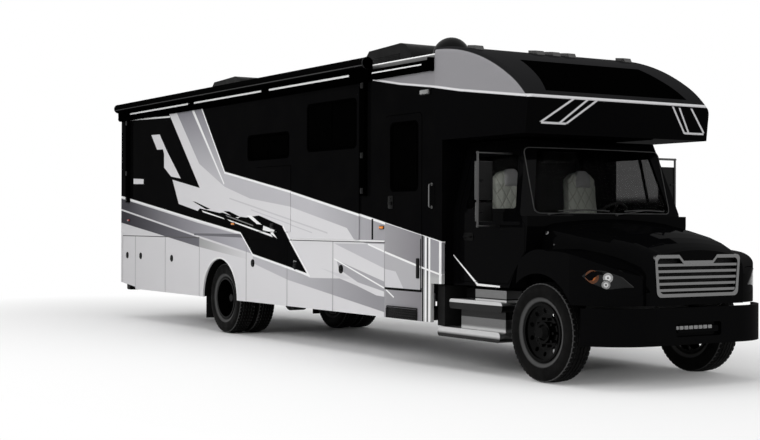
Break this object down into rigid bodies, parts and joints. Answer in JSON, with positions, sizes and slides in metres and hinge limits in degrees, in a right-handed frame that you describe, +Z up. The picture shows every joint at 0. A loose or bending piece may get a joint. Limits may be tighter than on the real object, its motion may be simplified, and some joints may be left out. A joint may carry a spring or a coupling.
{
  "type": "motorhome",
  "caption": "Motorhome on a bonneted truck chassis: over-cab bunk, slide-out room, storage bays, opening doors, tilting hood, steered front wheels and twin rear wheels.",
  "frame": {"origin": "centre of the footprint on the ground", "axes": "+X forward along the length, +Y to the vehicle's left, +Z up"},
  "size_m": [12.404, 2.866, 3.9628],
  "materials": {
    "tyre": "matt",
    "wheel_black": "gloss black",
    "chassis_black": "satin black",
    "axle_iron": "rough",
    "body_paint": "gloss silver-white",
    "roof_white": "satin",
    "cab_paint": "gloss black",
    "tinted_glass": "dark tint",
    "cab_glass": "clear",
    "bright_metal": "polished",
    "step_aluminium": "brushed",
    "black_plastic": "satin",
    "awning_case": "satin black",
    "lamp_plastic": "clear over reflector",
    "rubber": "matt",
    "leather": "quilted cream"
  },
  "bodies": {
    "coach": {"awning": "awning_case", "bumper": "cab_paint", "cab_glass": "cab_glass", "cab_shell": "cab_paint", "cab_steps": "step_aluminium", "dashboard": "black_plastic", "frame": "chassis_black", "front_axle": "axle_iron", "house_glass": "tinted_glass", "lamps": "lamp_plastic", "left_wall": "body_paint", "lower_body": "body_paint", "mudflaps": "rubber", "overhead_cap": "body_paint", "powertrain": "axle_iron", "rear_axle": "axle_iron", "rear_bumper": "chassis_black", "rear_wall": "body_paint", "right_wall": "body_paint", "roof": "roof_white", "roof_units": "roof_white", "seats": "leather", "step_boxes": "black_plastic"},
    "knuckle_right": {"knuckle_right": "axle_iron"},
    "front_wheel_right": {"front_wheel_right": "wheel_black", "front_tyre_right": "tyre"},
    "rear_wheels_right": {"rear_wheels_right": "wheel_black", "rear_tyres_right": "tyre"},
    "cab_door_right": {"cab_door_right": "cab_paint", "cab_door_glass_right": "cab_glass", "mirror_right": "black_plastic"},
    "knuckle_left": {"knuckle_left": "axle_iron"},
    "front_wheel_left": {"front_wheel_left": "wheel_black", "front_tyre_left": "tyre"},
    "rear_wheels_left": {"rear_wheels_left": "wheel_black", "rear_tyres_left": "tyre"},
    "cab_door_left": {"cab_door_left": "cab_paint", "cab_door_glass_left": "cab_glass", "mirror_left": "black_plastic"},
    "hood": {"hood": "cab_paint", "grille": "bright_metal", "headlights": "lamp_plastic"},
    "entry_door": {"entry_door": "body_paint", "entry_glass": "tinted_glass"},
    "hatch": {"hatch": "body_paint"},
    "slide_out": {"slide_out": "body_paint", "slide_glass": "tinted_glass"},
    "storage_door_right_1": {"storage_door_right_1": "body_paint"},
    "storage_door_right_2": {"storage_door_right_2": "body_paint"},
    "storage_door_right_3": {"storage_door_right_3": "body_paint"},
    "storage_door_right_4": {"storage_door_right_4": "body_paint"},
    "storage_door_right_5": {"storage_door_right_5": "body_paint"},
    "storage_door_right_6": {"storage_door_right_6": "body_paint"},
    "storage_door_left_1": {"storage_door_left_1": "body_paint"},
    "storage_door_left_2": {"storage_door_left_2": "body_paint"}
  },
  "joints": [
    {"name": "steer_right", "type": "hinge", "parent": "coach", "child": "knuckle_right", "pos_m": [5.132, -0.905, 0.515], "axis": [0, 0, 1], "range_deg": [-35, 35]},
    {"name": "spin_front_right", "type": "hinge", "parent": "knuckle_right", "child": "front_wheel_right", "pos_m": [5.132, -1.03, 0.515], "axis": [0, 1, 0], "continuous": true},
    {"name": "spin_rear_right", "type": "hinge", "parent": "coach", "child": "rear_wheels_right", "pos_m": [-2.218, -1.07, 0.515], "axis": [0, 1, 0], "continuous": true},
    {"name": "cab_door_right_hinge", "type": "hinge", "parent": "coach", "child": "cab_door_right", "pos_m": [4.826, -1.13, 1.5], "axis": [0, 0, 1], "range_deg": [0, 70]},
    {"name": "steer_left", "type": "hinge", "parent": "coach", "child": "knuckle_left", "pos_m": [5.132, 0.905, 0.515], "axis": [0, 0, 1], "range_deg": [-35, 35]},
    {"name": "spin_front_left", "type": "hinge", "parent": "knuckle_left", "child": "front_wheel_left", "pos_m": [5.132, 1.03, 0.515], "axis": [0, 1, 0], "continuous": true},
    {"name": "spin_rear_left", "type": "hinge", "parent": "coach", "child": "rear_wheels_left", "pos_m": [-2.218, 1.07, 0.515], "axis": [0, 1, 0], "continuous": true},
    {"name": "cab_door_left_hinge", "type": "hinge", "parent": "coach", "child": "cab_door_left", "pos_m": [4.826, 1.13, 1.5], "axis": [0, 0, -1], "range_deg": [0, 70]},
    {"name": "hood_tilt", "type": "hinge", "parent": "coach", "child": "hood", "pos_m": [6.117, 0, 0.88], "axis": [0, 1, 0], "range_deg": [0, 55]},
    {"name": "entry_door_hinge", "type": "hinge", "parent": "coach", "child": "entry_door", "pos_m": [3.129, -1.291, 1.9], "axis": [0, 0, 1], "range_deg": [0, 95]},
    {"name": "hatch_hinge", "type": "hinge", "parent": "coach", "child": "hatch", "pos_m": [-0.533, -1.291, 2.397], "axis": [-1, 0, 0], "range_deg": [0, 85]},
    {"name": "slide_out_travel", "type": "slide", "parent": "coach", "child": "slide_out", "axis": [0, -1, 0], "range_m": [0, 0.6]},
    {"name": "storage_door_right_1_hinge", "type": "hinge", "parent": "coach", "child": "storage_door_right_1", "pos_m": [-5.501, -1.285, 0.95], "axis": [0, 0, 1], "range_deg": [0, 90]},
    {"name": "storage_door_right_2_hinge", "type": "hinge", "parent": "coach", "child": "storage_door_right_2", "pos_m": [-4.241, -1.285, 0.95], "axis": [0, 0, 1], "range_deg": [0, 90]},
    {"name": "storage_door_right_3_hinge", "type": "hinge", "parent": "coach", "child": "storage_door_right_3", "pos_m": [-2.941, -1.285, 0.95], "axis": [0, 0, 1], "range_deg": [0, 90]},
    {"name": "storage_door_right_4_hinge", "type": "hinge", "parent": "coach", "child": "storage_door_right_4", "pos_m": [-0.12433, -1.285, 0.95], "axis": [0, 0, 1], "range_deg": [0, 90]},
    {"name": "storage_door_right_5_hinge", "type": "hinge", "parent": "coach", "child": "storage_door_right_5", "pos_m": [1.10233, -1.285, 0.95], "axis": [0, 0, 1], "range_deg": [0, 90]},
    {"name": "storage_door_right_6_hinge", "type": "hinge", "parent": "coach", "child": "storage_door_right_6", "pos_m": [2.329, -1.285, 0.95], "axis": [0, 0, 1], "range_deg": [0, 90]},
    {"name": "storage_door_left_1_hinge", "type": "hinge", "parent": "coach", "child": "storage_door_left_1", "pos_m": [-4.241, 1.285, 0.95], "axis": [0, 0, -1], "range_deg": [0, 90]},
    {"name": "storage_door_left_2_hinge", "type": "hinge", "parent": "coach", "child": "storage_door_left_2", "pos_m": [2.329, 1.285, 0.95], "axis": [0, 0, -1], "range_deg": [0, 90]}
  ],
  "couplings": [
    {"joint": "steer_left", "follows": "steer_right", "ratio": 1}
  ]
}
